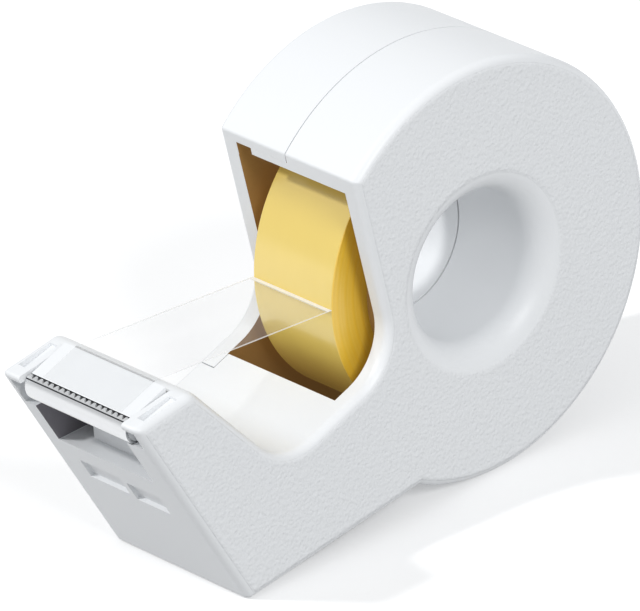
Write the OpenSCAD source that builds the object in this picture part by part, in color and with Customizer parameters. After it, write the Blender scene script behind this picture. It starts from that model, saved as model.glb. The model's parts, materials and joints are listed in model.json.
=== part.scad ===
// Hand-held tape dispenser for small-core tape: a round drum with a through hub hole, a wedge-shaped
// base with a cutter between two ears, a pull-off side cover, and a part-used roll of tape.
// X runs across the width, Y from the cutter (-Y) to the drum (+Y), Z up. The drum and the front edge
// of the base stand on Z = 0, and the origin is under the middle of the overall box.

/* [Drum] */
// Outside diameter of the drum
drum_d = 58; // [54:0.5:70]
// Overall width of the casing
case_w = 26; // [24:0.5:34]
// Thickness of the two side walls
side_t = 2.8; // [2:0.2:3.6]
// Thickness of the drum's rim wall
rim_t = 1.9; // [1.6:0.1:2.6]
// Thickness of the cover's rim where it laps over the lip
cover_rim_t = 1.1; // [0.8:0.1:1.2]
// Distance of the rim's parting line from the middle, towards the cover
seam_off = 0.6; // [0:0.1:3]
// Width of the lip that the cover's rim slides over
lip_w = 6.8; // [3:0.2:7]

/* [Hub] */
// Inside diameter of the tape core that the hub carries
core_bore_d = 25.4; // [24:0.2:26.4]
// Radial play between the hub and the tape core
core_play = 0.4; // [0.3:0.05:0.8]
// Wall of the hub tube
hub_wall = 2; // [1.6:0.1:3]
// Radius of the flare at each mouth of the hub hole
flare_r = 4; // [2:0.2:5]
// Distance of the parting line in the hub hole from the middle, towards the cover
bore_seam_off = 3; // [2:0.2:5]
// Length of the spigot that joins the two hub halves
spigot_len = 3; // [2:0.5:5]
// Radial width of the shoulder that keeps the roll central
shoulder_w = 3.5; // [2:0.5:5]

/* [Base] */
// Distance from the drum's axis to the front bottom edge
base_len = 44; // [40:0.5:56]
// How far the nose leans out over the front bottom edge
nose_lean = 15.8; // [12:0.2:18]
// Height of the nose's front corner
nose_h = 31.4; // [29:0.5:34]
// Slope of the ears' tops, in degrees
ear_slope = 8; // [4:1:12]
// Where the underside leaves the drum, in degrees from straight down
heel_angle = 28.6; // [22:0.2:34]
// Distance from the axis to the lowest corner of the deck
dip_y = 36; // [34:0.5:40]
// Height of the lowest corner of the deck
dip_h = 16.1; // [14:0.2:18]
// Slope of the deck up to the mouth, in degrees
deck_slope = 18.7; // [12:0.5:24]
// Slope of the wall behind the ears, in degrees
rise_slope = 50.5; // [45:0.5:58]
// Radius of the hollow curves at the dip and at the mouth
hollow_r = 8; // [4:0.5:9]
// Wall of the base
base_wall = 2; // [1.6:0.1:2.6]
// Thickness of the two ribs under the base
rib_t = 1.6; // [1.2:0.1:2.4]

/* [Mouth] */
// Distance from the axis to the foot of the mouth's side edges
mouth_y = 15.9; // [13:0.5:18]
// Lean of the mouth's side edges, in degrees
mouth_lean = 8.6; // [4:0.2:12]
// Radial gap between the widest roll and the deck's inner edge
throat_gap = 0.8; // [0.4:0.1:1.5]
// Diameter of the widest roll that fits
roll_max_d = 51; // [46:0.5:51]

/* [Cutter] */
// Thickness of each ear
ear_t = 3.2; // [2.6:0.1:4]
// Gap between each ear and the cutter holder
holder_gap = 0.15; // [0.1:0.05:0.4]
// Height of the finger recess's floor
recess_h = 20.2; // [18:0.2:22]
// Depth of the finger recess at its floor
recess_deep = 3.1; // [2.4:0.1:4]
// Width of the border beside the finger recess on the plain side
recess_border = 4.6; // [3.4:0.1:6]
// Depth of the pocket at the finger recess's cover-side end
pocket_deep = 3.8; // [2:0.1:4]
// Width of that pocket
pocket_w = 3.3; // [2:0.1:5]
// Radius of the holder's round nose
holder_nose_r = 1.95; // [1.6:0.05:2.4]
// Distance of the round nose's centre behind the ears' front corner
cutter_back = 3.3; // [2.6:0.1:4]
// Distance of the round nose's centre below the ears' front corner
cutter_drop = 1.75; // [1:0.05:2.4]
// How far the holder's rear edge stands above the ears
ridge_up = 0.5; // [0.2:0.1:1]
// Thickness of the steel strip
blade_t = 0.35; // [0.2:0.05:0.5]
// Pitch of the cutting teeth
tooth_pitch = 0.97; // [0.7:0.01:1.4]
// Height of the cutting teeth
tooth_h = 0.5; // [0.3:0.05:0.8]

/* [Tape] */
// Width of the tape
tape_w = 15; // [12:0.5:18]
// Diameter of the part-used roll
roll_d = 43; // [32:0.5:50]
// Wall of the tape core
core_t = 1.9; // [1.2:0.1:3]
// Thickness of the free end of the tape
tail_t = 0.1; // [0.06:0.02:0.2]
// Gap between the free end and the turning roll
tail_gap = 0.35; // [0.3:0.05:0.6]
// Height above the axis at which the free end leaves the roll
peel_h = 1.7; // [0:0.1:4]

/* [Hidden] */

$fn = 96;
fit = 0.05;             // clearance where the cover slides on the body
slit = 0.1;             // width of the parting line between cover and base
heel_slit = 0.3;        // the same at the heel, in degrees
over = 1;               // how far a cut runs past a face
drum_r = drum_d / 2;
half_w = case_w / 2;
inner_x = half_w - side_t;
hub_r = core_bore_d / 2 - core_play;
bore_r = hub_r - hub_wall;
spigot_r = bore_r + hub_wall / 2;
hub_seam_off = bore_seam_off - spigot_len;
shoulder_h = inner_x - tape_w / 2 - core_play;
lip_r = drum_r - cover_rim_t - fit;
chamber_r = drum_r - rim_t;
throat_r = roll_max_d / 2 + throat_gap;
ear_x = half_w - ear_t;
front_len = base_len + nose_lean;

// Outline corners in the drum's own plane: [distance behind the axis, height above the axis]
heel = drum_r * [-sin(heel_angle), -cos(heel_angle)];
toe = [-base_len, -drum_r];
nose = [-front_len, nose_h - drum_r];
dip = [-dip_y, dip_h - drum_r];
crest = meet(nose, ear_slope, dip, -rise_slope);
mouth_foot = meet(dip, deck_slope, [-mouth_y, dip[1] + (dip_y - mouth_y) * tan(deck_slope)], 90);
mouth_top = mouth_foot + drum_d * [-sin(mouth_lean), cos(mouth_lean)];
front_dir = unit(toe - nose);
nose_r = 1.1;
crest_r = 1.8;
nose_front = corner_centre(toe, nose, crest, nose_r)[0] - nose_r;
axis_y = -(nose_front + drum_r) / 2;

// The cutter sits between the ears, behind the nose's corner
blade_c = nose + [cutter_back, -cutter_drop];
ridge = crest + [-1.8, ridge_up];
holder_x = ear_x - holder_gap;
holder_low = blade_c[1] - holder_nose_r;
recess_z = recess_h - drum_r;
recess_front = nose[0] + (nose[1] - recess_z) * nose_lean / nose_h;
pocket_y = recess_front + recess_deep;
blade_in = holder_nose_r + fit;
blade_out = blade_in + blade_t;
top_angle = 118;        // where the holder's top meets its round nose
tooth_angle = 146;      // where the toothed edge leaves the round nose, straight on
blade_end_angle = 262;  // where the strip ends under the nose
hair = 0.02;            // keeps pieces that rest on each other from touching
tail_rise = tail_t + 1.5 * hair;

function unit(v) = v / norm(v);
// Crossing point of two lines, each given by a point and a slope in degrees
function meet(p, a, q, b) =
    let (u = [cos(a), sin(a)], v = [cos(b), sin(b)])
    p + u * cross(q - p, v) / cross(u, v);
function turned(v, a) = [v[0] * cos(a) - v[1] * sin(a), v[0] * sin(a) + v[1] * cos(a)];
function polar(r, a) = r * [cos(a), sin(a)];
// Half the angle between two corner edges, and the centre of the arc that rounds the corner
function half_angle(before, at, after) = acos(unit(before - at) * unit(after - at)) / 2;
function corner_centre(before, at, after, r) =
    at + unit(unit(before - at) + unit(after - at)) * r / sin(half_angle(before, at, after));
// The points that round one corner to radius r, in steps of about 8 degrees
function corner(before, at, after, r) = r == 0 ? [at] :
    let (a = unit(before - at), b = unit(after - at), half = half_angle(before, at, after),
         centre = corner_centre(before, at, after, r),
         start = at + a * r / tan(half) - centre,
         sweep = (180 - 2 * half) * sign(cross(b, a)),
         steps = ceil(abs(sweep) / 8))
    [for (i = [0:steps]) centre + turned(start, sweep * i / steps)];
// An outline from a list of [corner, radius]
function rounded(c) = let (n = len(c))
    [for (i = [0:n - 1]) each corner(c[(i + n - 1) % n][0], c[i][0], c[(i + 1) % n][0], c[i][1])];

// Stands a drum-plane outline up across the width, from x0 to x1
module across(x0, x1) {
    translate([x0, axis_y, drum_r]) rotate([90, 0, 90]) linear_extrude(x1 - x0) children();
}
// A true cylinder on the drum's axis, from x0 to x1
module disc(r, x0, x1, steps = 180) {
    translate([x0, axis_y, drum_r]) rotate([90, 0, 90]) cylinder(r = r, h = x1 - x0, $fn = steps);
}
module tube(r_out, r_in, x0, x1) {
    difference() {
        disc(r_out, x0, x1);
        disc(r_in, x0 - over, x1 + over);
    }
}

// The wedge in front of the drum, up to its axis; drop lowers its underside
module wedge_outline(drop = 0) {
    polygon(rounded([
        [heel + [0, -drop], 0], [toe + front_dir * drop, 0.4], [nose, nose_r], [crest, crest_r],
        [dip, hollow_r], [mouth_foot, hollow_r], [mouth_foot + unit(mouth_top - mouth_foot) * 1.5 * hollow_r, 0],
        [[0, 0], 0]]));
}
// Everything behind the mouth's side edges and the heel; lap carries it into the wedge, in degrees
module behind_mouth(lap = 10) {
    far = 2 * drum_d;
    polygon([[0, 0], turned(heel, -lap) * 3, [far, -far], [far, far], mouth_top, mouth_foot]);
}
// The round part of the casing's side, cut to the mouth's outline
module drum_plate(x0, x1) {
    intersection() {
        disc(drum_r, x0, x1);
        union() {
            across(x0 - over, x1 + over) behind_mouth();
            across(x0 - over, x1 + over) wedge_outline();
        }
    }
}
// The rim wall, from the top of the mouth round the back to the heel
module rim(r_out, r_in, x0, x1, lap = 10) {
    intersection() {
        tube(r_out, r_in, x0, x1);
        across(x0 - over, x1 + over) behind_mouth(lap);
    }
}
// The round flare that opens each mouth of the hub hole; side is 1 or -1
module flare(side) {
    translate([side * half_w, axis_y, drum_r]) rotate([0, -side * 90, 0]) rotate_extrude($fn = 120)
        difference() {
            translate([0, -over]) square([bore_r + flare_r, flare_r + over]);
            translate([bore_r + flare_r, flare_r]) circle(r = flare_r, $fn = 64);
        }
}

// The space for the cutter, open at the front and the top
module cutter_pocket() {
    polygon([[-2 * front_len, recess_z], [pocket_y, recess_z], [pocket_y, holder_low],
             [ridge[0] + holder_gap, holder_low], [ridge[0] + holder_gap, drum_r],
             [-2 * front_len, drum_r]]);
}
// The hollow cells under the base, open at the bottom
module base_cells() {
    cell_w = (2 * inner_x - 2 * rib_t) / 3;
    for (i = [-1:1])
        across(i * (cell_w + rib_t) - cell_w / 2, i * (cell_w + rib_t) + cell_w / 2)
            difference() {
                offset(delta = -base_wall) wedge_outline(drop = 5);
                circle(r = throat_r + base_wall, $fn = 180);
                offset(delta = base_wall) cutter_pocket();
                if (i < 0) offset(delta = base_wall) end_pocket();
            }
}
// Blind slots in the ears' tops and in their front corners
module ear_slots() {
    top_w = 1.4;
    top_x = (ear_x + half_w) / 2 - top_w / 2;
    front_w = 2;
    front_top = 0.9;
    front_h = [2.7, 4.1];  // plain side, cover side
    for (side = [0, 1]) mirror([side, 0, 0]) {
        across(top_x, top_x + top_w) translate(crest)
            polygon([[-7.8, -1.9], [-2.2, -0.7], [-2.2, 3], [-7.8, 3]]);
        across(ear_x - over, ear_x + front_w)
            translate(nose) translate([-3, -front_top - front_h[side]]) square([7.6, front_h[side]]);
    }
}
// The pocket behind the finger recess's cover-side end
module end_pocket() {
    translate([pocket_y - over, recess_z]) square([over + pocket_deep, holder_low - recess_z]);
}
// Two plain staggered fields, sunk into the front face
module label_fields() {
    deep = 0.6;
    field_h = 3.4;
    into = turned(front_dir, 90);
    // each field: left end, width, and distance of its lower edge below the nose
    for (f = [[-8, 7.6, 19.4], [0.6, 6.4, 19.9]]) {
        low = nose + front_dir * f[2];
        high = low - front_dir * field_h;
        across(f[0], f[0] + f[1])
            polygon([low + into * deep, low - into * over, high - into * over, high + into * deep]);
    }
}

module main_body() {
    color([0.93, 0.94, 0.95])
    difference() {
        union() {
            drum_plate(inner_x, half_w);
            across(inner_x, half_w) wedge_outline();
            rim(drum_r, chamber_r, -seam_off, inner_x + over / 2);
            rim(lip_r, chamber_r, -seam_off - lip_w, -seam_off + over);
            difference() {
                across(-inner_x, inner_x + over / 2) wedge_outline();
                disc(throat_r, -inner_x - over, inner_x);
            }
            difference() {
                across(-half_w, -inner_x + over / 2) wedge_outline();
                disc(drum_r + slit, -half_w - over, -inner_x + over);
            }
            disc(hub_r, -hub_seam_off, inner_x + over / 2);
            disc(spigot_r - fit, -hub_seam_off - spigot_len, -hub_seam_off + over);
            disc(hub_r + shoulder_w, inner_x - shoulder_h, inner_x + over / 2);
        }
        disc(bore_r, -half_w - over, half_w + over);
        flare(1);
        across(-ear_x, ear_x) cutter_top();
        across(-ear_x, half_w - recess_border) finger_recess();
        across(-ear_x, -ear_x + pocket_w) end_pocket();
        across(-ear_x, ear_x) translate(blade_c) circle(r = blade_out + holder_gap, $fn = 64);
        base_cells();
        ear_slots();
        label_fields();
    }
}
// The upper part of the cutter's space, full width between the ears
module cutter_top() {
    intersection() {
        cutter_pocket();
        translate([-2 * front_len, holder_low]) square([4 * front_len, 2 * drum_r]);
    }
}
// The lower part, below the holder
module finger_recess() {
    intersection() {
        cutter_pocket();
        translate([-2 * front_len, recess_z]) square([4 * front_len, holder_low - recess_z + hair]);
    }
}

module side_cover() {
    color([0.95, 0.95, 0.96])
    difference() {
        union() {
            drum_plate(-half_w, -inner_x - fit);
            rim(drum_r, lip_r + fit, -inner_x - fit - over / 2, -seam_off - fit, -heel_slit);
            disc(hub_r, -inner_x - over / 2, -hub_seam_off - fit);
            disc(hub_r + shoulder_w, -inner_x - over / 2, -inner_x + shoulder_h);
        }
        disc(bore_r, -half_w - over, half_w);
        disc(spigot_r, -hub_seam_off - spigot_len - fit, half_w);
        flare(-1);
    }
}

// The white insert that carries the steel strip; the tape's end rests on its top
module cutter_holder() {
    color([0.9, 0.91, 0.92])
    difference() {
        union() {
            across(-holder_x, holder_x) polygon([
                ridge, [ridge[0], holder_low + hair], blade_c + [0, -holder_nose_r + hair],
                blade_c, blade_c + polar(holder_nose_r, top_angle)]);
            translate([-holder_x, axis_y + blade_c[0], drum_r + blade_c[1]])
                rotate([90, 0, 90]) cylinder(r = holder_nose_r, h = 2 * holder_x, $fn = 64);
        }
        // hollow under the platform
        across(-holder_x + 1.5, holder_x - 1.5) polygon([
            ridge + [-1.4, -2.2], [ridge[0] - 1.4, holder_low - over],
            blade_c + [2.4, -holder_nose_r - over], blade_c + [2.4, -0.2]]);
    }
}

// The steel strip that wraps the holder's nose and ends in a row of teeth
module cutter_blade() {
    teeth = floor(2 * holder_x / tooth_pitch);
    step = 2 * holder_x / teeth;
    gullet = 0.2;
    lap = 0.1;
    root = blade_c + polar(blade_in, tooth_angle);
    color([0.78, 0.79, 0.8]) {
        difference() {
            translate([-holder_x, axis_y + blade_c[0], drum_r + blade_c[1]]) rotate([90, 0, 90])
                difference() {
                    cylinder(r = blade_out, h = 2 * holder_x, $fn = 64);
                    translate([0, 0, -over]) cylinder(r = blade_in, h = 2 * holder_x + 2 * over, $fn = 64);
                }
            across(-half_w, half_w) polygon(concat([blade_c],
                [for (a = [blade_end_angle - 360:(tooth_angle + 360 - blade_end_angle) / 6:tooth_angle + 0.01])
                    blade_c + polar(3 * blade_out, a)]));
        }
        translate([0, axis_y + root[0], drum_r + root[1]]) rotate([tooth_angle - 90, 0, 0])
            linear_extrude(blade_t)
                polygon(concat([[holder_x, -lap], [-holder_x, -lap]],
                    [for (i = [0:teeth - 1]) each [[-holder_x + i * step, gullet],
                        [-holder_x + (i + 0.5) * step, gullet + tooth_h]]], [[holder_x, gullet]]));
    }
}

module tape_core() {
    color([0.86, 0.83, 0.76]) tube(core_bore_d / 2 + core_t, core_bore_d / 2, -tape_w / 2, tape_w / 2);
}
module tape_winding() {
    color([0.85, 0.65, 0.2]) tube(roll_d / 2, core_bore_d / 2 + core_t, -tape_w / 2, tape_w / 2);
}

// The free end: off the front of the roll, over the holder's rear edge and down to the teeth
module tape_tail() {
    peel = [-sqrt(pow(roll_d / 2 + tail_gap, 2) - pow(peel_h, 2)), peel_h];
    bend = ridge + [0, tail_rise / 2];
    end = blade_c + polar(holder_nose_r + tail_rise, top_angle);
    color([0.9, 0.9, 0.85, 0.5])
    across(-tape_w / 2, tape_w / 2) polygon([
        peel, bend, end, end + [0, tail_t], bend + [0, tail_t], peel + [0, tail_t]]);
}

main_body();
side_cover();
cutter_holder();
cutter_blade();
tape_core();
tape_winding();
tape_tail();
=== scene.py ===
"""Tape dispenser: a moulded drum with a pull-off cover, a toothed cutter and a part-used roll of tape."""
import json
import math

import bpy
from mathutils import Matrix, Vector


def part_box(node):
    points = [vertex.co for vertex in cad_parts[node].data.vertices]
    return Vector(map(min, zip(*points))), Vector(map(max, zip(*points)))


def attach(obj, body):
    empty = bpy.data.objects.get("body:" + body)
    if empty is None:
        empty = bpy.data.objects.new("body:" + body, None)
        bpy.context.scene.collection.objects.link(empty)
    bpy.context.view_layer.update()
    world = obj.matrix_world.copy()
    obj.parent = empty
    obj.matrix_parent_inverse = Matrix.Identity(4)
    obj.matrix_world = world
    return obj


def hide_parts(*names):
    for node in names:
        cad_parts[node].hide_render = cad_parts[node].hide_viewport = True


bl_info = {
    "name": "Tape Dispenser",
    "version": (1, 0, 0),
    "blender": (4, 5, 0),
    "location": "3D View > Sidebar > Dispenser",
    "description": "Builds a hand-held tape dispenser around its packed frame",
    "category": "Add Mesh",
}

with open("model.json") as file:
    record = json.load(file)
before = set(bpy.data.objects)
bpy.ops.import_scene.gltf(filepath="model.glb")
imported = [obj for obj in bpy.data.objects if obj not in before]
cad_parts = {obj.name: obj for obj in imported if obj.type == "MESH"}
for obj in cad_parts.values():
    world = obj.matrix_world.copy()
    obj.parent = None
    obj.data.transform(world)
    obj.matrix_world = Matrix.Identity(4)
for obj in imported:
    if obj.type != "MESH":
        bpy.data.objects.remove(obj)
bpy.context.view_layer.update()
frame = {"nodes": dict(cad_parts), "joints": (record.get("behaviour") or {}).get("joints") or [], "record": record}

MM = 0.001
JOINTS = {j["name"]: j for j in frame["joints"]}
MOUNTS = {m["name"]: m for m in frame["record"]["mounts"]}
AXIS = Vector(JOINTS["roll_spin"]["pos_m"])  # a point on the drum's axis, in its middle
DRUM_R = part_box("side_cover")[1].z - AXIS.z
HALF_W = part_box("main_body")[1].x
BORE_R = MOUNTS["hub_hole"]["dims"]["r_mm"] * MM
ROLL_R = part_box("tape_winding")[1].z - AXIS.z
CORE_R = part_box("tape_core")[1].z - AXIS.z
TAPE_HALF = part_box("tape_winding")[1].x
CUTTER_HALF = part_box("cutter_blade")[1].x
OVER = 1 * MM  # how far a cut runs past a face
PLAY = 0.05 * MM  # small clearance between faces that would otherwise meet
SKIN = 0.03 * MM  # how far past a surface a finish reaches that picks it out


def length(title, text, mm, least=0.0, most=100.0):
    """A size that the user can change, given in millimetres."""
    return bpy.props.FloatProperty(
        name=title, description=text, default=mm * MM, min=least * MM, max=most * MM,
        unit="LENGTH", subtype="DISTANCE", precision=5)


def angle(title, text, degrees):
    """An angle that the user can change."""
    return bpy.props.FloatProperty(
        name=title, description=text, default=math.radians(degrees), unit="ROTATION", subtype="ANGLE")


def colour(title, text, value):
    """A colour that the user can change."""
    return bpy.props.FloatVectorProperty(
        name=title, description=text, default=value, size=3, min=0, max=1, subtype="COLOR")


class CasingSizes(bpy.types.PropertyGroup):
    """Sizes of the moulded casing."""
    base_len: length("Base length", "Drum's axis to the front bottom edge", 44)
    nose_lean: length("Nose lean", "How far the nose leans out over the front bottom edge", 15.8)
    nose_h: length("Nose height", "Height of the ears' front corner", 31.4)
    ear_slope: angle("Ear slope", "Slope of the ears' tops", 8)
    heel_angle: angle("Heel", "Where the underside leaves the drum, from straight down", 28.6)
    dip_y: length("Dip distance", "Drum's axis to the lowest corner of the deck", 36)
    dip_h: length("Dip height", "Height of the lowest corner of the deck", 16.1)
    deck_slope: angle("Deck slope", "Slope of the deck up to the mouth", 18.7)
    rise_slope: angle("Rise slope", "Slope of the wall behind the ears", 50.5)
    hollow_r: length("Hollow radius", "Radius of the curves at the dip and the mouth", 8)
    mouth_y: length("Mouth foot", "Drum's axis to the foot of the mouth's side edges", 15.9)
    mouth_lean: angle("Mouth lean", "Lean of the mouth's side edges", 8.6)
    side_t: length("Side wall", "Thickness of the side walls", 2.8)
    rim_t: length("Rim wall", "Thickness of the drum's rim", 1.9)
    throat_t: length("Throat wall", "Drum's outside to the throat behind the deck", 2.7)
    cover_rim_t: length("Cover rim", "Thickness of the cover's rim over the lip", 1.1)
    seam_off: length("Parting line", "Distance of the rim's parting line from the middle", 0.6)
    bore_seam_off: length("Hub parting line", "Distance of the hub hole's parting line from the middle", 3)
    spigot_len: length("Spigot", "Length of the spigot that joins the two hub halves", 3)
    seam_gap: length("Seam gap", "Width of the parting lines", 0.16)
    lip_w: length("Lip width", "Width of the lip under the cover's rim", 6.8)
    hub_wall: length("Hub wall", "Wall of the hub tube", 2)
    shoulder_w: length("Shoulder width", "Radial width of the hub's shoulders", 3.5)
    flare_r: length("Flare radius", "Radius of the hub hole's mouths", 4)
    ear_t: length("Ear thickness", "Thickness of each ear", 3.2)
    base_wall: length("Base wall", "Wall of the hollow base", 2)
    rib_t: length("Rib thickness", "Thickness of the ribs under the base", 1.6)
    round_r: length("Edge radius", "Radius of the casing's outer edges", 1.4)
    recess_h: length("Recess height", "Height of the finger recess's floor", 20.2)
    recess_deep: length("Recess depth", "Depth of the finger recess at its floor", 3.1)
    pocket_deep: length("Pocket depth", "Depth of the pocket at the finger recess's left end", 3.8)
    pocket_w: length("Pocket width", "Width of that pocket", 3.3)
    recess_border: length("Recess border", "Plain border beside the finger recess", 4.6)


class CutterSizes(bpy.types.PropertyGroup):
    """Sizes of the cutter and the tape."""
    nose_r: length("Nose radius", "Radius of the holder's round nose", 1.95)
    back: length("Setback", "Nose centre behind the ears' front corner", 3.3)
    drop: length("Drop", "Nose centre below the ears' front corner", 1.75)
    ridge_back: length("Ridge setback", "Holder's rear edge in front of the crest behind the ears", 1.8)
    ridge_up: length("Ridge", "Height of the holder's rear edge over the ears", 0.5)
    strip_t: length("Strip", "Thickness of the steel strip", 0.35)
    tooth_pitch: length("Tooth pitch", "Pitch of the teeth", 0.97)
    tooth_h: length("Tooth height", "Height of the teeth", 0.5)
    film_t: length("Film", "Thickness of the tape", 0.07)
    peel_h: length("Peel height", "Height above the axis at which the tape leaves the roll", 1.7)


class Finishes(bpy.types.PropertyGroup):
    """Colours of the dispenser."""
    casing: colour("Casing", "White moulded plastic", (0.83, 0.845, 0.86))
    # Painted light: the amber light that comes through the tape onto the casing's inside, also given off as
    # emission.
    painted_glow: colour("Inside", "Casing's inside, where only light through the tape reaches", (0.27, 0.15, 0.05))
    steel: colour("Steel", "Cutter strip", (0.80, 0.81, 0.82))
    roll_face: colour("Roll face", "Wound tape, seen square to its surface", (0.80, 0.60, 0.14))
    roll_side: colour("Roll side", "Wound tape, seen at its edges", (0.84, 0.53, 0.03))
    film: colour("Film", "Single layer of tape", (0.74, 0.75, 0.75))
    core: colour("Core", "Tube inside the roll", (0.78, 0.72, 0.6))
    floor: colour("Floor", "Plain studio floor", (0.93, 0.93, 0.93))


# ---------------------------------------------------------------- outline of the casing's side

def unit_at(radians):
    return Vector((math.cos(radians), math.sin(radians)))


def meet(p, along, q, other):
    """Crossing point of two lines, each given by a point and a direction."""
    cross = along.x * other.y - along.y * other.x
    t = ((q - p).x * other.y - (q - p).y * other.x) / cross
    return p + along * t


def arc(centre, radius, start, end, step=math.radians(4)):
    """Points on an arc from one angle to another."""
    n = max(2, math.ceil(abs(end - start) / step))
    return [centre + unit_at(start + (end - start) * i / n) * radius for i in range(n + 1)]


def rounded(before, corner, after, radius):
    """The arc that rounds one corner of an outline."""
    a, b = (before - corner).normalized(), (after - corner).normalized()
    half = a.angle(b) / 2
    centre = corner + (a + b).normalized() * radius / math.sin(half)
    first = corner + a * radius / math.tan(half) - centre
    last = corner + b * radius / math.tan(half) - centre
    start = math.atan2(first.y, first.x)
    turn = math.remainder(math.atan2(last.y, last.x) - start, math.tau)
    return arc(centre, radius, start, start + turn)


class Outline:
    """The casing's side outline in the drum's own plane: metres behind the axis, metres above it."""

    def __init__(self, s, c):
        self.heel = -DRUM_R * Vector((math.sin(s.heel_angle), math.cos(s.heel_angle)))
        self.toe = Vector((-s.base_len, -AXIS.z))
        self.nose = Vector((-s.base_len - s.nose_lean, s.nose_h - AXIS.z))
        self.dip = Vector((-s.dip_y, s.dip_h - AXIS.z))
        self.crest = meet(self.nose, unit_at(s.ear_slope), self.dip, unit_at(-s.rise_slope))
        self.foot = meet(self.dip, unit_at(s.deck_slope), Vector((-s.mouth_y, 0)), Vector((0, 1)))
        up = Vector((-math.sin(s.mouth_lean), math.cos(s.mouth_lean)))
        b = self.foot.dot(up)
        self.top = self.foot + up * (-b + math.sqrt(b * b - self.foot.length_squared + DRUM_R ** 2))
        self.up = up
        self.lead = self.foot + Vector((-up.y, up.x)) * OVER / 2  # just in front of the foot
        self.front = (self.toe - self.nose).normalized()
        self.dip_arc = rounded(self.crest, self.dip, self.foot, s.hollow_r)
        self.foot_arc = rounded(self.dip, self.foot, self.top, s.hollow_r)
        self.strip = self.nose + Vector((c.back, -c.drop))  # centre of the holder's round nose
        self.ridge = self.crest + Vector((-c.ridge_back, c.ridge_up))
        self.low = self.strip.y - c.nose_r  # underside of the holder
        self.recess_z = s.recess_h - AXIS.z
        front_y = meet(self.toe, self.front, Vector((0, self.recess_z)), Vector((1, 0))).x
        self.pocket_y = front_y + s.recess_deep

    def whole(self):
        """The full outline, round the drum and the base."""
        start = math.atan2(self.top.y, self.top.x)
        end = math.atan2(self.heel.y, self.heel.x)
        if end > start:
            end -= math.tau
        drum = arc(Vector((0, 0)), DRUM_R, start, end, math.radians(2.5))
        return [self.toe, self.nose, self.crest, *self.dip_arc, *self.foot_arc, *drum]

    def wedge(self, drop):
        """The base alone, up to the drum's axis, with its underside lowered by drop."""
        return [self.heel - Vector((0, drop)), self.toe + self.front * drop, self.nose, self.crest,
                *self.dip_arc, *self.foot_arc, Vector((0, 0))]

    def behind(self, gap=0.0):
        """Everything behind the heel and the mouth's side edges, and a little in front of those edges."""
        far = 3 * DRUM_R
        heel = Matrix.Rotation(gap / DRUM_R, 2) @ self.heel
        return [Vector((0, 0)), heel * 3, Vector((far, -far)), Vector((far, far)),
                self.lead + self.up * far, self.lead]

    def ahead(self):
        """Everything in front of those."""
        far = 3 * DRUM_R
        return [Vector((0, 0)), self.lead, self.lead + self.up * far, Vector((-2 * far, far)),
                Vector((-2 * far, -2 * far)), self.heel * 4]


def at(x, point):
    """A point of the drum's plane, at a place across the width."""
    return Vector((x, AXIS.y + point.x, AXIS.z + point.y))


# ---------------------------------------------------------------- modelling by hand

def deselect():
    bpy.ops.object.select_all(action="DESELECT")


def edit(piece):
    """Makes one object the only selected one and opens it for editing."""
    deselect()
    piece.select_set(True)
    bpy.context.view_layer.objects.active = piece
    bpy.ops.object.mode_set(mode="EDIT")


def done():
    bpy.ops.object.mode_set(mode="OBJECT")


def draw(name, points, close=True):
    """A flat outline drawn point by point: one vertex, extruded along the outline and filled."""
    deselect()
    bpy.ops.mesh.primitive_plane_add(size=MM, location=points[0])
    piece = bpy.context.object
    piece.name = name
    bpy.ops.object.transform_apply()
    edit(piece)
    bpy.ops.mesh.select_all(action="SELECT")
    bpy.ops.mesh.merge(type="CENTER")
    for before, after in zip(points, points[1:]):
        bpy.ops.mesh.extrude_vertices_move(TRANSFORM_OT_translate={"value": after - before})
    bpy.ops.mesh.select_all(action="SELECT")
    if close:
        bpy.ops.mesh.edge_face_add()
    return piece


def thicken(vector):
    """Extrudes the selected outline into a closed solid, with its faces outward."""
    bpy.ops.mesh.extrude_region_move(TRANSFORM_OT_translate={"value": vector})
    bpy.ops.mesh.select_all(action="SELECT")
    bpy.ops.mesh.normals_make_consistent(inside=False)
    done()


def prism(name, outline, x0, x1):
    """A solid that stands a drum-plane outline up across the width."""
    piece = draw(name, [at(x0, p) for p in outline])
    thicken((x1 - x0, 0, 0))
    return piece


def lathe(name, profile, closed=True, steps=144):
    """A round solid about the drum's axis from a profile of (x, radius) points."""
    points = [Vector((x, AXIS.y, AXIS.z + r)) for x, r in profile]
    piece = draw(name, points + points[:1] if closed else points, close=False)
    if closed:
        bpy.ops.mesh.remove_doubles(threshold=0.001 * MM)
    bpy.ops.mesh.spin(steps=steps, angle=math.tau, center=AXIS, axis=(1, 0, 0), use_auto_merge=True)
    bpy.ops.mesh.select_all(action="SELECT")
    bpy.ops.mesh.remove_doubles(threshold=0.001 * MM)
    bpy.ops.mesh.normals_make_consistent(inside=False)
    done()
    return piece


def apply(piece, kind, **settings):
    """Adds one modifier and applies it."""
    deselect()
    piece.select_set(True)
    bpy.context.view_layer.objects.active = piece
    modifier = piece.modifiers.new(kind.lower(), kind)
    for key, value in settings.items():
        setattr(modifier, key, value)
    bpy.ops.object.modifier_apply(modifier=modifier.name)


def combine(piece, tool, operation="DIFFERENCE"):
    """Cuts, joins or intersects a solid with another, which is then removed."""
    apply(piece, "BOOLEAN", object=tool, operation=operation, solver="EXACT")
    bpy.data.objects.remove(tool)
    if not piece.data.polygons:
        raise RuntimeError(f"{piece.name} has no faces left after a {operation.lower()}")


def carve(piece, tools):
    """Cuts a solid with many others in one pass, and removes them."""
    bench = bpy.data.collections.new("tools")
    for tool in tools:
        bench.objects.link(tool)
    apply(piece, "BOOLEAN", operand_type="COLLECTION", collection=bench, operation="DIFFERENCE", solver="EXACT")
    for tool in tools:
        bpy.data.objects.remove(tool)
    bpy.data.collections.remove(bench)
    if not piece.data.polygons:
        raise RuntimeError(f"{piece.name} has no faces left after it was carved")


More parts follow.
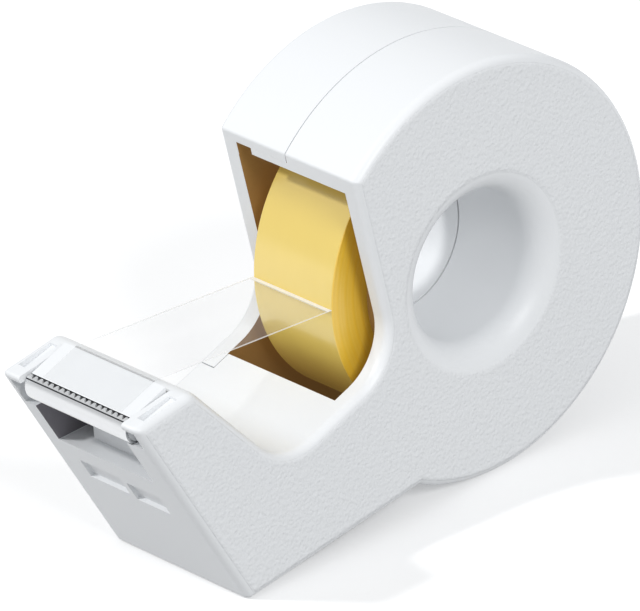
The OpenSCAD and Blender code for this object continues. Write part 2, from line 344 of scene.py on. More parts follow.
def tidy(piece, degrees=32):
    """Merges doubles, smooths the round faces and keeps the flat ones flat."""
    edit(piece)
    bpy.ops.mesh.select_all(action="SELECT")
    bpy.ops.mesh.remove_doubles(threshold=0.002 * MM)
    bpy.ops.mesh.dissolve_degenerate(threshold=0.001 * MM)
    bpy.ops.mesh.select_all(action="SELECT")
    bpy.ops.mesh.vert_connect_concave()
    bpy.ops.mesh.delete_loose()
    bpy.ops.mesh.select_all(action="SELECT")
    bpy.ops.mesh.normals_make_consistent(inside=False)
    done()
    bpy.ops.object.shade_smooth_by_angle(angle=math.radians(degrees))
    apply(piece, "WEIGHTED_NORMAL", keep_sharp=True, weight=100)


def finished(piece, name, node, body, material):
    """Names a piece, gives it its finish and hangs it on its CAD body in place of its CAD node."""
    piece.name = name
    piece.data.name = name
    piece.data.materials.clear()
    piece.data.materials.append(material)
    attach(piece, body)
    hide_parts(node)


# ---------------------------------------------------------------- materials

class Value:
    """One socket of a material, with the arithmetic that its expressions use."""

    def __init__(self, paint, socket):
        self.paint, self.socket = paint, socket

    def _with(self, operation, first, second=0.0):
        return self.paint.add("ShaderNodeMath", {"operation": operation}, {0: first, 1: second})

    def __add__(self, other):
        return self._with("ADD", self, other)

    def __sub__(self, other):
        return self._with("SUBTRACT", self, other)

    def __mul__(self, other):
        return self._with("MULTIPLY", self, other)

    def __rsub__(self, other):
        return self._with("SUBTRACT", other, self)

    def __lt__(self, other):
        return self._with("LESS_THAN", self, other)

    def __gt__(self, other):
        return self._with("GREATER_THAN", self, other)

    __radd__ = __add__
    __rmul__ = __mul__

    def size(self):
        return self._with("ABSOLUTE", self)

    def most(self, other):
        return self._with("MAXIMUM", self, other)

    def root(self):
        return self._with("SQRT", self)

    def ramp(self, low, high):
        """0 at low, 1 at high, straight between them."""
        return self.paint.add("ShaderNodeMapRange", {"clamp": True}, {0: self, 1: low, 2: high})


class Paint:
    """A material that is being built, node by node."""

    def __init__(self, name):
        self.material = bpy.data.materials.new(name)
        self.material.use_nodes = True
        self.tree = self.material.node_tree
        self.tree.nodes.clear()

    def add(self, kind, settings=None, inputs=None, out=0):
        """Adds a node: its settings first, then the values or links of its sockets. Returns one output."""
        node = self.tree.nodes.new(kind)
        for key, value in (settings or {}).items():
            setattr(node, key, value)
        for key, value in (inputs or {}).items():
            if isinstance(value, Value):
                self.tree.links.new(value.socket, node.inputs[key])
            else:
                node.inputs[key].default_value = value
        return Value(self, node.outputs[out]) if node.outputs else None

    def place(self):
        """The point on the piece, in the object's own frame, in metres."""
        return self.add("ShaderNodeTexCoord", out="Object")

    def parts(self, vector):
        """The three numbers of a vector."""
        split = self.add("ShaderNodeSeparateXYZ", inputs={0: vector})
        return [Value(self, socket) for socket in split.socket.node.outputs]

    def mix(self, factor, first, second):
        """One colour blended into another."""
        first, second = (c if isinstance(c, Value) else (*c, 1) for c in (first, second))
        # inputs 6 and 7 and output 2 are the node's colour sockets
        return self.add("ShaderNodeMix", {"data_type": "RGBA"}, {0: factor, 6: first, 7: second}, out=2)

    def noise(self, where, scale, detail=2.0, stretch=(1, 1, 1)):
        """Soft random variation, scale in features a metre."""
        vector = self.add("ShaderNodeMapping", inputs={0: where, 3: stretch})
        return self.add("ShaderNodeTexNoise", inputs={0: vector, "Scale": scale, "Detail": detail})

    def bump(self, height, distance, strength=1.0):
        return self.add("ShaderNodeBump", inputs={"Height": height, "Distance": distance, "Strength": strength})

    def finish(self, **sockets):
        """The surface shader, from socket names with their spaces as underscores."""
        inputs = {}
        for key, value in sockets.items():
            if isinstance(value, tuple) and len(value) == 3:
                value = (*value, 1)
            inputs[key.replace("_", " ")] = value
        surface = self.add("ShaderNodeBsdfPrincipled", inputs=inputs)
        self.add("ShaderNodeOutputMaterial", inputs={0: surface})
        return self.material


def radius_of(y, z, centre=AXIS):
    """Distance from a line along X, the drum's axis if no other is given."""
    dy, dz = y - centre.y, z - centre.z
    return (dy * dy + dz * dz).root()


def shaded(tone, share):
    """A plain colour made darker."""
    return tuple(share * c for c in tone)


def painted_roll_light(s, o, x, y, z):
    """1 on the casing's inner faces near the mouth, fading to 0 further in: where painted amber light from the
    tape lies.
    """
    r = radius_of(y, z)
    foot = at(0, o.foot)
    past = (y - (foot.y + 0.06 * MM)) * o.up.y - (z - foot.z) * o.up.x  # distance behind the mouth's edges
    throat = r < DRUM_R - s.throat_t + SKIN
    rim = (r < DRUM_R - s.cover_rim_t - 0.02 * MM) * (past > 0.0)  # all but the lip's outer face
    within = (r > BORE_R + s.hub_wall - SKIN) * (x.size() < HALF_W - s.side_t + SKIN)
    return throat.most(rim) * within * past.ramp(14 * MM, 5 * MM)


def end_pocket_shade(s, o, x, y, z):
    """1 on the finger recess's end wall and in the pocket there, which hardly any light reaches; painted shade
    darkens them.
    """
    ear_x = HALF_W - s.ear_t
    across = (x > -ear_x - PLAY) * (x < -ear_x + s.pocket_w + PLAY)
    upright = (z > AXIS.z + o.recess_z + PLAY) * (z < AXIS.z + o.low + PLAY)
    return across * upright * (y < AXIS.y + o.pocket_y + s.pocket_deep + PLAY)


def moulded_white(name, look, s, o=None, groove=None):
    """White moulding: sandblasted on the flat sides, satin elsewhere.

    With an outline, painted amber light lies round the roll, also given off as emission, and painted shade darkens
    the end pocket. With a groove, given by a centre and a radius, all that lies deeper is painted black as shade.
    """
    p = Paint(name)
    where = p.place()
    x, y, z = p.parts(where)
    flat = x.size().ramp(HALF_W - 0.12 * MM, HALF_W - 0.03 * MM)
    grain = p.noise(where, 2600, 3.0)
    cells = p.add("ShaderNodeTexVoronoi", {"feature": "SMOOTH_F1"}, {0: where, "Scale": 1900.0})
    blasted = (grain + cells) * flat
    drift = p.noise(where, 55, 2.0)
    base = p.mix(flat * grain.ramp(0.35, 0.75) * 0.6, tuple(look.casing), shaded(look.casing, 0.91))
    base = p.mix(drift * 0.08, base, (0.78, 0.80, 0.83))
    painted_glow = (0, 0, 0)
    if o:
        painted_light_mask = painted_roll_light(s, o, x, y, z)
        # Painted light: the amber light from the tape round the roll, with painted shade making it darker lower
        # down.
        high = (z - AXIS.z).ramp(-24 * MM, 24 * MM)
        colour_and_painted_light = p.mix(high, shaded(look.painted_glow, 0.8), tuple(look.painted_glow))
        base = p.mix(painted_light_mask, base, colour_and_painted_light)
        # Painted shade: the finger recess's end wall and its pocket are painted dark.
        base = p.mix(end_pocket_shade(s, o, x, y, z), base, (0.2, 0.19, 0.21))
        # The painted amber light is also given off as emission, though the casing is no lamp.
        painted_glow = p.mix(painted_light_mask, (0, 0, 0), colour_and_painted_light)
    if groove:
        centre, radius = groove
        # Painted shade: all that lies deeper than the radius, the groove behind the teeth, is painted black.
        sunk = (radius_of(y, z, centre) < radius) * (x.size() < CUTTER_HALF - PLAY)
        base = p.mix(sunk, base, (0.02, 0.02, 0.025))
    return p.finish(
        Base_Color=base, Roughness=0.38 + flat * 0.24 + drift * 0.06,
        Emission_Color=painted_glow, Emission_Strength=0.22,
        Normal=p.bump(blasted + p.noise(where, 900, 2.0) * 0.1, 0.11 * MM, 1.0), IOR=1.5)


def steel(look, root, along):
    """Rolled strip, brushed along its length, with a dark painted shadow along the teeth's root."""
    p = Paint("cutter_steel")
    where = p.place()
    brushed = p.noise(where, 900, 3.0, (0.03, 1, 1))
    smear = p.noise(where, 220, 2.0)
    base = p.mix(brushed, tuple(look.steel), shaded(look.steel, 0.86))
    _, y, z = p.parts(where)
    past = (y - root.y) * along.x + (z - root.z) * along.y  # distance beyond the root
    # Painted shadow: a dark band just beyond the teeth's root.
    base = p.mix((past > -0.1 * MM) * (past < 0.08 * MM), base, (0.03, 0.03, 0.035))
    return p.finish(
        Base_Color=base, Metallic=0.9, Roughness=0.24 + brushed * 0.12 + smear * 0.08,
        Normal=p.bump(brushed, 0.01 * MM, 0.5))


def wound_tape(look):
    """Many turns of film: amber, glossy round the outside, with fine rings on the sides."""
    p = Paint("wound_film")
    where = p.place()
    x, y, z = p.parts(where)
    r = radius_of(y, z)
    side = x.size().ramp(TAPE_HALF - 0.15 * MM, TAPE_HALF - 0.05 * MM)
    rings = {"noise_dimensions": "1D"}
    turns = p.add("ShaderNodeTexNoise", rings, {"W": r, "Scale": 5200.0, "Detail": 2.0})
    bands = p.add("ShaderNodeTexNoise", rings, {"W": r, "Scale": 700.0, "Detail": 1.0})
    streak = p.noise(where, 60, 2.0, (4, 0.5, 0.5))
    near_core = r.ramp(ROLL_R, CORE_R)
    face = p.mix(streak * 0.5, tuple(look.roll_face), shaded(look.roll_face, 0.9))
    edge = p.mix(turns * 0.12 + bands * 0.2, tuple(look.roll_side), shaded(look.roll_side, 0.78))
    edge = p.mix(near_core * 0.35, edge, (0.5, 0.27, 0.02))
    base = p.mix(side, face, edge)
    # Painted light: the tape gives off its own colour, standing for light that passes through it.
    return p.finish(
        Base_Color=base, Roughness=0.22 + side * 0.22 + streak * 0.08,
        Emission_Color=base, Emission_Strength=0.1,
        Normal=p.bump(turns * side + streak * 0.4, 0.01 * MM, 0.5),
        Coat_Weight=0.35, Coat_Roughness=0.12, IOR=1.9)


def clear_film(look, peel, bend):
    """A single layer of glossy film, nearly clear, whiter along its edges, with a painted highlight along its peel
    line and painted shade along its bend.
    """
    p = Paint("clear_film")
    where = p.place()
    cloud = p.noise(where, 160, 2.0, (1, 0.3, 1))
    x, y, _ = p.parts(where)
    rim = x.size().ramp(TAPE_HALF - 0.32 * MM, TAPE_HALF - 0.1 * MM) * (y - bend.y).ramp(0, 8 * MM)
    painted_peel_highlight = (y - peel.y).ramp(-0.85 * MM, -0.6 * MM)
    painted_bend_shade = (y - bend.y).size().ramp(0.22 * MM, 0.1 * MM)
    colour_and_painted_light = p.mix(cloud, tuple(look.film), shaded(look.film, 0.93))
    # Painted highlight: the strip along the peel line is whiter and more opaque.
    colour_and_painted_light = p.mix(painted_peel_highlight.most(rim), colour_and_painted_light, (0.95, 0.95, 0.94))
    # Painted shade: the line along the bend over the holder's rear edge is darker.
    colour_and_painted_light = p.mix(painted_bend_shade, colour_and_painted_light, (0.4, 0.4, 0.4))
    return p.finish(
        Base_Color=colour_and_painted_light, Roughness=0.08 + cloud * 0.1,
        Alpha=(0.05 + cloud * 0.05).most(rim * 0.5).most(painted_peel_highlight * 0.75).most(painted_bend_shade * 0.4),
        Normal=p.bump(cloud, 0.05 * MM, 0.4), IOR=1.45)


def core_board(look):
    """Plain tube inside the roll."""
    p = Paint("core_board")
    where = p.place()
    fibre = p.noise(where, 1400, 3.0, (1, 0.3, 0.3))
    return p.finish(
        Base_Color=p.mix(fibre, tuple(look.core), (0.66, 0.58, 0.45)), Roughness=0.7,
        Normal=p.bump(fibre, 0.03 * MM, 0.6))


def studio_floor(look):
    """Plain pale floor."""
    p = Paint("studio_floor")
    soft = p.noise(p.place(), 3, 1.0)
    return p.finish(
        Base_Color=p.mix(soft * 0.05, tuple(look.floor), (0.9, 0.9, 0.9)), Roughness=0.9,
        Emission_Color=tuple(look.floor), Emission_Strength=0.16)


# ---------------------------------------------------------------- casing

def chosen():
    """The user's three property groups."""
    scene = bpy.context.scene
    return scene.casing_sizes, scene.cutter_sizes, scene.dispenser_finishes


def envelope(name, s, o):
    """The casing's outer form, solid, with its edges rounded."""
    piece = prism(name, o.whole(), -HALF_W, HALF_W)
    plain_side, cover_side = 1.0, 0.45  # these and the corners' are shares of the edge radius
    weights = piece.data.attributes.new("bevel_weight_edge", "FLOAT", "EDGE")
    corners = ((o.nose, 0.5), (o.crest, 1.0), (o.toe, 0.3), (o.top, 0.15))
    for e in piece.data.edges:
        a, b = (piece.data.vertices[v].co for v in e.vertices)
        if abs(a.x - b.x) < OVER / 10:
            weights.data[e.index].value = plain_side if a.x > 0 else cover_side
        for spot, weight in corners:
            if abs(a.x - b.x) > OVER and (a.yz - at(0, spot).yz).length < OVER / 20:
                weights.data[e.index].value = weight
    apply(piece, "BEVEL", limit_method="WEIGHT", width=s.round_r, segments=5, use_clamp_overlap=False,
          miter_outer="MITER_SHARP")
    return piece


def chamber(s, o):
    """The roll's space: a ring round the hub with a shoulder at each side, narrower at the throat."""
    inner_x = HALF_W - s.side_t
    hub_r = BORE_R + s.hub_wall
    step_x = TAPE_HALF + 0.4 * MM  # leaves the roll a little play
    shoulder = hub_r + s.shoulder_w
    throat = DRUM_R - s.throat_t
    ring = [(-inner_x, throat), (inner_x, throat), (inner_x, shoulder), (step_x, shoulder),
            (step_x, hub_r), (-step_x, hub_r), (-step_x, shoulder), (-inner_x, shoulder)]
    space = lathe("roll_space", ring)
    wide = lathe("rim_space", [(-inner_x, throat - OVER), (inner_x, throat - OVER),
                               (inner_x, DRUM_R - s.rim_t), (-inner_x, DRUM_R - s.rim_t)])
    combine(wide, prism("rear", o.behind(), -HALF_W, HALF_W), "INTERSECT")
    return [space, wide]


def flared_bore(s):
    """The hub hole, opened by a round flare at each mouth."""
    inner = HALF_W - s.flare_r
    quarter = arc(Vector((inner, BORE_R + s.flare_r)), s.flare_r, -math.pi / 2, 0, math.radians(7.5))
    right = [(p.x, p.y) for p in quarter] + [(HALF_W + OVER, BORE_R + s.flare_r)]
    left = [(-x, r) for x, r in reversed(right)]
    return lathe("hub_hole", [(-HALF_W - OVER, 0), *left, *right, (HALF_W + OVER, 0)], closed=False)


def cover_spaces(s, o):
    """The cover's plate, rim and half of the hub, with the parting lines' width added."""
    inner_x = HALF_W - s.side_t
    out = HALF_W + OVER
    gap = s.seam_gap
    edge = DRUM_R + PLAY + gap
    plate = lathe("cover_plate", [(-out, 0), (-out, edge), (-inner_x + gap, edge), (-inner_x + gap, 0)],
                  closed=False)
    low = DRUM_R - s.cover_rim_t - PLAY
    rim = lathe("cover_rim", [(-inner_x - OVER, low), (gap - s.seam_off, low),
                              (gap - s.seam_off, DRUM_R + OVER), (-inner_x - OVER, DRUM_R + OVER)])
    combine(rim, prism("rear", o.behind(-gap), -HALF_W, HALF_W), "INTERSECT")
    spigot = BORE_R + s.hub_wall / 2 - PLAY
    shoulder = BORE_R + s.hub_wall + s.shoulder_w + OVER
    seam = s.spigot_len - s.bore_seam_off + gap
    deep_x = 1.8 * gap - s.bore_seam_off  # the line in the hub hole is the widest
    step_x = OVER - TAPE_HALF
    hub = lathe("cover_hub", [(-inner_x - OVER, 0), (-inner_x - OVER, shoulder), (step_x, shoulder),
                              (step_x, shoulder - s.shoulder_w), (seam, shoulder - s.shoulder_w),
                              (seam, spigot), (deep_x, spigot), (deep_x, 0)], closed=False)
    return [plate, rim, hub]


def beyond_cover(s, o):
    """All of the casing that isn't the cover's."""
    inner_x = HALF_W - s.side_t
    out = HALF_W + OVER
    far = 3 * DRUM_R
    low = DRUM_R - s.cover_rim_t
    shoulder = BORE_R + s.hub_wall + s.shoulder_w + OVER
    spigot = BORE_R + s.hub_wall / 2
    deep_x = -s.bore_seam_off
    seam = s.spigot_len - s.bore_seam_off
    edge = DRUM_R + PLAY
    base = lathe("base_side", [(-out, edge), (-inner_x + OVER, edge), (-inner_x + OVER, far), (-out, far)])
    rest = lathe("plain_side", [(-inner_x, shoulder), (-inner_x, low), (-s.seam_off, low),
                                (-s.seam_off, far), (out, far), (out, shoulder)])
    hub = lathe("plain_hub", [(deep_x, 0), (deep_x, spigot), (seam, spigot), (seam, shoulder + OVER),
                              (out, shoulder + OVER), (out, 0)], closed=False)
    front = lathe("front", [(-inner_x, low - OVER), (-s.seam_off + OVER, low - OVER),
                            (-s.seam_off + OVER, far - OVER), (-inner_x, far - OVER)])
    combine(front, prism("ahead", o.ahead(), -HALF_W, HALF_W), "INTERSECT")
    return [base, rest, hub, front]


def roll_space(s, o):
    """All that is open inside the casing: the roll's space, the hub hole and the room for the cover's rim."""
    inner_x = HALF_W - s.side_t
    lip_end = -s.seam_off - s.lip_w
    relief = lathe("relief", [(-inner_x, DRUM_R - s.rim_t - OVER), (lip_end, DRUM_R - s.rim_t - OVER),
                              (lip_end, DRUM_R - s.cover_rim_t), (-inner_x, DRUM_R - s.cover_rim_t)])
    combine(relief, prism("rear", o.behind(), -HALF_W, HALF_W), "INTERSECT")
    return [*chamber(s, o), flared_bore(s), relief]


def cutter_bay(s, c, o):
    """The cutter's place between the ears, the finger recess below it and the pocket at the recess's end."""
    ear_x = HALF_W - s.ear_t
    far = -2 * (s.base_len + s.nose_lean)
    hair = 0.01 * MM
    back = o.ridge.x + 0.15 * MM  # leaves the dark line behind the holder
    upper = [Vector((far, o.low)), Vector((back, o.low)), Vector((back, DRUM_R)), Vector((far, DRUM_R))]
    lower = [Vector((far, o.recess_z)), Vector((o.pocket_y, o.recess_z)),
             Vector((o.pocket_y, o.low + hair)), Vector((far, o.low + hair))]
    y0, y1 = o.pocket_y - OVER, o.pocket_y + s.pocket_deep
    pocket = [Vector((y0, o.recess_z)), Vector((y1, o.recess_z)), Vector((y1, o.low)), Vector((y0, o.low))]
    strip_r, strip_x = c.nose_r + c.strip_t + 0.2 * MM, ear_x - hair
    strip = arc(o.strip, strip_r, 0, math.tau, math.radians(9))[:-1]
    return [prism("cutter_bay", upper, -ear_x, ear_x), prism("strip_room", strip, -strip_x, strip_x),
            prism("finger_recess", lower, -ear_x, HALF_W - s.recess_border),
            prism("end_pocket", pocket, -ear_x, -ear_x + s.pocket_w)]


def ear_slots(s, o):
    """A blind slot in each ear's top and one in its front corner, which is taller on the cover's side."""
    ear_x = HALF_W - s.ear_t
    wide, front_deep = 1.4 * MM, 2 * MM
    x0 = (ear_x + HALF_W) / 2 - wide / 2
    top = [o.crest + Vector(p) * MM for p in ((-7.8, -1.9), (-2.2, -0.7), (-2.2, 3), (-7.8, 3))]
    made = []
    for side, low in ((-1, -5), (1, -3.6)):
        front = [o.nose + Vector(p) * MM for p in ((-3, low), (4.6, low), (4.6, -0.9), (-3, -0.9))]
        made.append(prism("top_slot", top, side * x0, side * (x0 + wide)))
        made.append(prism("front_slot", front, side * (ear_x - OVER), side * (ear_x + front_deep)))
    return made


def label_fields(o):
    """Two plain staggered fields sunk into the front face."""
    deep, tall = 0.6 * MM, 3.4 * MM
    into = Vector((-o.front.y, o.front.x))
    made = []
    for x0, wide, down in ((-8, 7.6, 19.4), (0.6, 6.4, 19.9)):  # millimetres
        low = o.nose + o.front * down * MM
        high = low - o.front * tall
        field = [low + into * deep, low - into * OVER, high - into * OVER, high + into * deep]
        made.append(prism("label_field", field, x0 * MM, (x0 + wide) * MM))
    return made


def base_cells(s, o):
    """The hollow under the base, in three cells between two ribs."""
    cell_w = (2 * (HALF_W - s.side_t) - 2 * s.rib_t) / 3
    drop = 5 * MM  # how far a cell runs out below the base
    far = -3 * DRUM_R
    made = []
    for i in (-1, 0, 1):
        x0 = i * (cell_w + s.rib_t) - cell_w / 2
        x1 = x0 + cell_w
        cell = draw("base_cell", [at(x0, p) for p in o.wedge(drop)])
        bpy.ops.mesh.select_mode(type="FACE")
        bpy.ops.mesh.inset(thickness=s.base_wall)
        bpy.ops.mesh.select_all(action="INVERT")
        bpy.ops.mesh.delete(type="FACE")
        bpy.ops.mesh.select_all(action="SELECT")
        bpy.ops.mesh.select_mode(type="VERT")
        thicken((cell_w, 0, 0))
        wall_r = DRUM_R - s.throat_t + s.base_wall
        combine(cell, lathe("throat_wall", [(x0 - OVER, 0), (x0 - OVER, wall_r), (x1 + OVER, wall_r),
                                            (x1 + OVER, 0)], closed=False))
        end = o.pocket_y + s.base_wall + (s.pocket_deep if i < 0 else 0)
        low = o.recess_z - s.base_wall
        floor = [Vector((far, low)), Vector((end, low)), Vector((end, DRUM_R)), Vector((far, DRUM_R))]
        combine(cell, prism("bay_floor", floor, x0 - OVER, x1 + OVER))
        made.append(cell)
    return made


class DISPENSER_OT_body(bpy.types.Operator):
    """Builds the main body: the plain side of the drum, the base and the two ears"""
    bl_idname = "dispenser.body"
    bl_label = "Main body"

    def execute(self, context):
        s, c, look = chosen()
        o = Outline(s, c)
        piece = envelope("casing_body", s, o)
        carve(piece, [*roll_space(s, o), *cover_spaces(s, o), *cutter_bay(s, c, o),
                      *ear_slots(s, o), *label_fields(o), *base_cells(s, o)])
        tidy(piece)
        finished(piece, "casing_body", "main_body", "casing",
                 moulded_white("body_white", look, s, o))
        return {"FINISHED"}


class DISPENSER_OT_cover(bpy.types.Operator):
    """Builds the pull-off side cover with its rim and its half of the hub"""
    bl_idname = "dispenser.cover"
    bl_label = "Side cover"

    def execute(self, context):
        s, c, look = chosen()
        o = Outline(s, c)
        piece = envelope("casing_cover", s, o)
        carve(piece, [*roll_space(s, o), *beyond_cover(s, o)])
        tidy(piece)
        finished(piece, "casing_cover", "side_cover", "cover",
                 moulded_white("cover_white", look, s, o))
        return {"FINISHED"}


# ---------------------------------------------------------------- cutter

TOP_ANGLE = math.radians(118)  # where the holder's top meets its round nose
TOOTH_ANGLE = math.radians(146)  # where the toothed edge leaves the round nose, straight on
GROOVE_ANGLE = math.radians(131)  # where the groove behind the teeth is sunk into the holder; its inside is painted black as shade
STRIP_END = math.radians(262)  # where the strip ends under the nose


class DISPENSER_OT_holder(bpy.types.Operator):
    """Builds the white insert between the ears, with its round nose and sloping top"""
    bl_idname = "dispenser.holder"
    bl_label = "Cutter holder"

    def execute(self, context):
        s, c, look = chosen()
        o = Outline(s, c)
        nose = arc(o.strip, c.nose_r, TOP_ANGLE, math.radians(270), math.radians(9))
        section = [*nose, Vector((o.ridge.x, o.low)), o.ridge]
        piece = prism("cutter_insert", section, -CUTTER_HALF, CUTTER_HALF)
        wall, end_wall = 1.4 * MM, 1.5 * MM
        under = [o.ridge + Vector((-wall, -2.2 * MM)), Vector((o.ridge.x - wall, o.low - OVER)),
                 Vector((o.strip.x + 2.4 * MM, o.low - OVER)), o.strip + Vector((2.4, -0.2)) * MM]
        combine(piece, prism("under", under, -CUTTER_HALF + end_wall, CUTTER_HALF - end_wall))
        apply(piece, "BEVEL", limit_method="ANGLE", angle_limit=math.radians(35), width=0.15 * MM, segments=2)
        out, side = unit_at(GROOVE_ANGLE), unit_at(GROOVE_ANGLE - math.pi / 2)
        bottom, half = 1.25 * MM, 0.3 * MM
        groove = [o.strip + out * r + side * w
                  for r, w in ((bottom, -half), (bottom, half), (3 * MM, half), (3 * MM, -half))]
        combine(piece, prism("groove", groove, -CUTTER_HALF - OVER, CUTTER_HALF + OVER))
        tidy(piece)
        finished(piece, "cutter_insert", "cutter_holder", "casing",
                 moulded_white("holder_white", look, s, groove=(at(0, o.strip), c.nose_r - 0.04 * MM)))
        return {"FINISHED"}


class DISPENSER_OT_strip(bpy.types.Operator):
    """Builds the toothed steel strip that wraps the holder's nose"""
    bl_idname = "dispenser.strip"
    bl_label = "Cutter strip"

    def execute(self, context):
        s, c, look = chosen()
        o = Outline(s, c)
        inner = c.nose_r + 0.02 * MM
        step = math.radians(7)
        section = [*arc(o.strip, inner + c.strip_t, TOOTH_ANGLE, STRIP_END, step),
                   *arc(o.strip, inner, STRIP_END, TOOTH_ANGLE, step)]
        piece = prism("cutter_strip", section, -CUTTER_HALF, CUTTER_HALF)
        root = o.strip + unit_at(TOOTH_ANGLE) * inner
        along = unit_at(TOOTH_ANGLE - math.pi / 2)
        gullet, lap = 0.2 * MM, 0.1 * MM
        teeth = int(2 * CUTTER_HALF / c.tooth_pitch)
        pitch = 2 * CUTTER_HALF / teeth
        edge = [at(CUTTER_HALF, root - along * lap), at(-CUTTER_HALF, root - along * lap)]
        for i in range(teeth):
            x = -CUTTER_HALF + i * pitch
            edge.append(at(x, root + along * gullet))
            edge.append(at(x + pitch / 2, root + along * (gullet + c.tooth_h)))
        edge.append(at(CUTTER_HALF, root + along * gullet))
        comb = draw("teeth", edge)
        thicken(at(0, unit_at(TOOTH_ANGLE) * c.strip_t) - at(0, Vector((0, 0))))
        combine(piece, comb, "UNION")
        tidy(piece, 25)
        finished(piece, "cutter_strip", "cutter_blade", "casing",
                 steel(look, at(0, root), along))
        return {"FINISHED"}


# ---------------------------------------------------------------- tape

def core_bore():
    """Inside radius of the tape core, read from its CAD node."""
    node = frame["nodes"]["tape_core"]
    return min((v.co.yz - AXIS.yz).length for v in node.data.vertices)


class DISPENSER_OT_roll(bpy.types.Operator):
    """Builds the tape core and the wound tape with its slightly uneven sides"""
    bl_idname = "dispenser.roll"
    bl_label = "Roll of tape"

    def execute(self, context):
        _, _, look = chosen()
        inner, soft, steps = CORE_R, 0.2 * MM, 26
        lay = []  # the side, a little uneven from turn to turn
        for i in range(steps + 1):
            r = inner + PLAY + (ROLL_R - inner - soft - PLAY) * i / steps
            uneven = 0.012 * math.sin(2.4 * i) + 0.008 * math.sin(5.1 * i + 1)
            lay.append((TAPE_HALF - (0.06 + uneven) * MM, r))
        rim = arc(Vector((TAPE_HALF - soft, ROLL_R - soft)), 0.9 * soft, 0, math.pi / 2, math.radians(30))
        right = [(TAPE_HALF - soft, inner)] + lay + [(p.x, p.y) for p in rim]
        left = [(-x, r) for x, r in reversed(right)]
        winding = lathe("roll_winding", right + left, steps=160)
        tidy(winding, 40)
        finished(winding, "roll_winding", "tape_winding", "tape_roll", wound_tape(look))
        bore, slack, cham = core_bore(), 0.02 * MM, 0.3 * MM
        half, outer = TAPE_HALF - slack, inner - slack
        tube = [(-half, bore + cham), (-half + cham, bore), (half - cham, bore), (half, bore + cham),
                (half, outer - cham), (half - cham, outer), (-half + cham, outer), (-half, outer - cham)]
        core = lathe("roll_core", tube)
        tidy(core)
        finished(core, "roll_core", "tape_core", "tape_roll", core_board(look))
        return {"FINISHED"}


class DISPENSER_OT_film(bpy.types.Operator):
    """Builds the free end of the tape, from the roll over the holder's edge to the teeth"""
    bl_idname = "dispenser.film"
    bl_label = "Free end of the tape"

    def execute(self, context):
        s, c, look = chosen()
        o = Outline(s, c)
        lift = 0.05 * MM
        peel = Vector((-math.sqrt((ROLL_R + lift) ** 2 - c.peel_h ** 2), c.peel_h))
        bend = o.ridge + Vector((0, lift))
        end = o.strip + unit_at(TOP_ANGLE) * (c.nose_r + lift)
        path = [peel, *rounded(peel, bend, end, 1.2 * MM), end]
        line = []
        for a, b in zip(path, path[1:]):
            n = max(1, round((b - a).length / (1.5 * MM)))
            line += [a.lerp(b, i / n) for i in range(n)]
        line.append(end)
        piece = draw("tape_end", [at(-TAPE_HALF, p) for p in line], close=False)
        bpy.ops.mesh.extrude_region_move(TRANSFORM_OT_translate={"value": (2 * TAPE_HALF, 0, 0)})
        bpy.ops.mesh.select_all(action="SELECT")
        bpy.ops.mesh.subdivide(number_cuts=1)
        bpy.ops.mesh.normals_make_consistent(inside=False)
        done()
        apply(piece, "SOLIDIFY", thickness=c.film_t, offset=0.0)
        bpy.ops.object.shade_smooth_by_angle(angle=math.radians(35))
        finished(piece, "tape_end", "tape_tail", "casing",
                 clear_film(look, at(0, peel), at(0, bend)))
        return {"FINISHED"}


# ---------------------------------------------------------------- stage

def sun(name, towards, strength, softness):
    """A soft distant light that shines from a direction."""
    bpy.ops.object.light_add(type="SUN")
    light = bpy.context.object
    light.name = name
    light.rotation_euler = Vector(towards).to_track_quat("Z", "Y").to_euler()
    light.data.energy = strength
    light.data.angle = math.radians(softness)


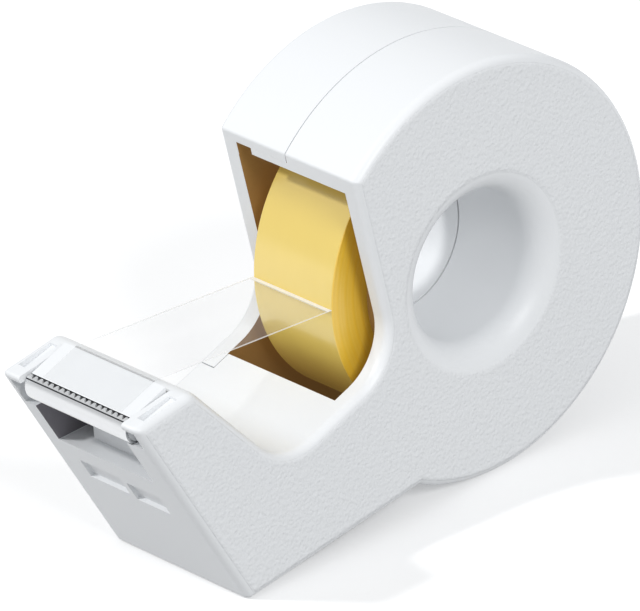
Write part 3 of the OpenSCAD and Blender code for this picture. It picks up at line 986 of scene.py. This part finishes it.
class DISPENSER_OT_stage(bpy.types.Operator):
    """Adds the floor, the soft studio light and the camera"""
    bl_idname = "dispenser.stage"
    bl_label = "Stage"

    def execute(self, context):
        _, _, look = chosen()
        scene = context.scene
        deselect()
        bpy.ops.mesh.primitive_plane_add(size=6, location=(0, 0, -0.05 * MM))
        floor = context.object
        floor.name = "studio_floor"
        floor.data.materials.append(studio_floor(look))
        floor.visible_diffuse = False
        world = bpy.data.worlds.new("studio")
        world.use_nodes = True
        nodes, links = world.node_tree.nodes, world.node_tree.links
        aim = nodes.new("ShaderNodeTexCoord")
        split = nodes.new("ShaderNodeSeparateXYZ")
        height = nodes.new("ShaderNodeMapRange")
        ground, zenith = 0.47, 0.62  # brightness of the surroundings straight down and straight up
        for socket, value in zip(height.inputs[1:5], (-1.0, 1.0, ground, zenith)):
            socket.default_value = value
        background = nodes["Background"]
        background.inputs["Color"].default_value = (0.97, 0.985, 1.0, 1)
        links.new(aim.outputs["Generated"], split.inputs[0])
        links.new(split.outputs["Z"], height.inputs[0])
        links.new(height.outputs[0], background.inputs["Strength"])
        scene.world = world
        sun("key", (-0.35, -0.6, 0.75), 1.3, 5)
        sun("side", (0.8, -0.2, 0.6), 1.2, 20)
        scene.view_settings.view_transform = "Standard"

        back = Vector((0.679, -0.5688, 0.4642)).normalized()  # from the dispenser to the camera
        roll = math.radians(5.63)
        bpy.ops.object.camera_add()
        camera = context.object
        camera.name = "camera"
        target = Vector((0, AXIS.y - 17.04 * MM, AXIS.z - 1.91 * MM))
        away = 1303 * MM
        camera.location = target + back * away
        level = Vector((0, 0, 1)).cross(back).normalized()
        up = back.cross(level)
        turned_up = up * math.cos(roll) + level * math.sin(roll)
        turned_right = turned_up.cross(back)
        camera.rotation_euler = Matrix((turned_right, turned_up, back)).transposed().to_euler()
        camera.data.lens = 570.4
        camera.data.sensor_width = 36
        camera.data.clip_end = 20
        scene.camera = camera
        return {"FINISHED"}


class DISPENSER_PT_panel(bpy.types.Panel):
    """Lists the dispenser's pieces and sizes"""
    bl_label = "Tape dispenser"
    bl_idname = "DISPENSER_PT_panel"
    bl_space_type = "VIEW_3D"
    bl_region_type = "UI"
    bl_category = "Dispenser"

    def draw(self, context):
        for operator in OPERATORS:
            self.layout.operator(operator.bl_idname)
        for group in ("casing_sizes", "cutter_sizes", "dispenser_finishes"):
            box = self.layout.box()
            values = getattr(context.scene, group)
            for key in values.__annotations__:
                box.prop(values, key)


GROUPS = {"casing_sizes": CasingSizes, "cutter_sizes": CutterSizes, "dispenser_finishes": Finishes}
OPERATORS = (DISPENSER_OT_stage, DISPENSER_OT_body, DISPENSER_OT_cover, DISPENSER_OT_holder,
             DISPENSER_OT_strip, DISPENSER_OT_roll, DISPENSER_OT_film)


def register():
    for cls in (*GROUPS.values(), *OPERATORS, DISPENSER_PT_panel):
        bpy.utils.register_class(cls)
    for name, group in GROUPS.items():
        setattr(bpy.types.Scene, name, bpy.props.PointerProperty(type=group))


def unregister():
    for name in GROUPS:
        delattr(bpy.types.Scene, name)
    for cls in reversed((*GROUPS.values(), *OPERATORS, DISPENSER_PT_panel)):
        bpy.utils.unregister_class(cls)


def main():
    register()
    for operator in OPERATORS:
        group, name = operator.bl_idname.split(".")
        getattr(getattr(bpy.ops, group), name)()


if __name__ == "__main__":
    main()
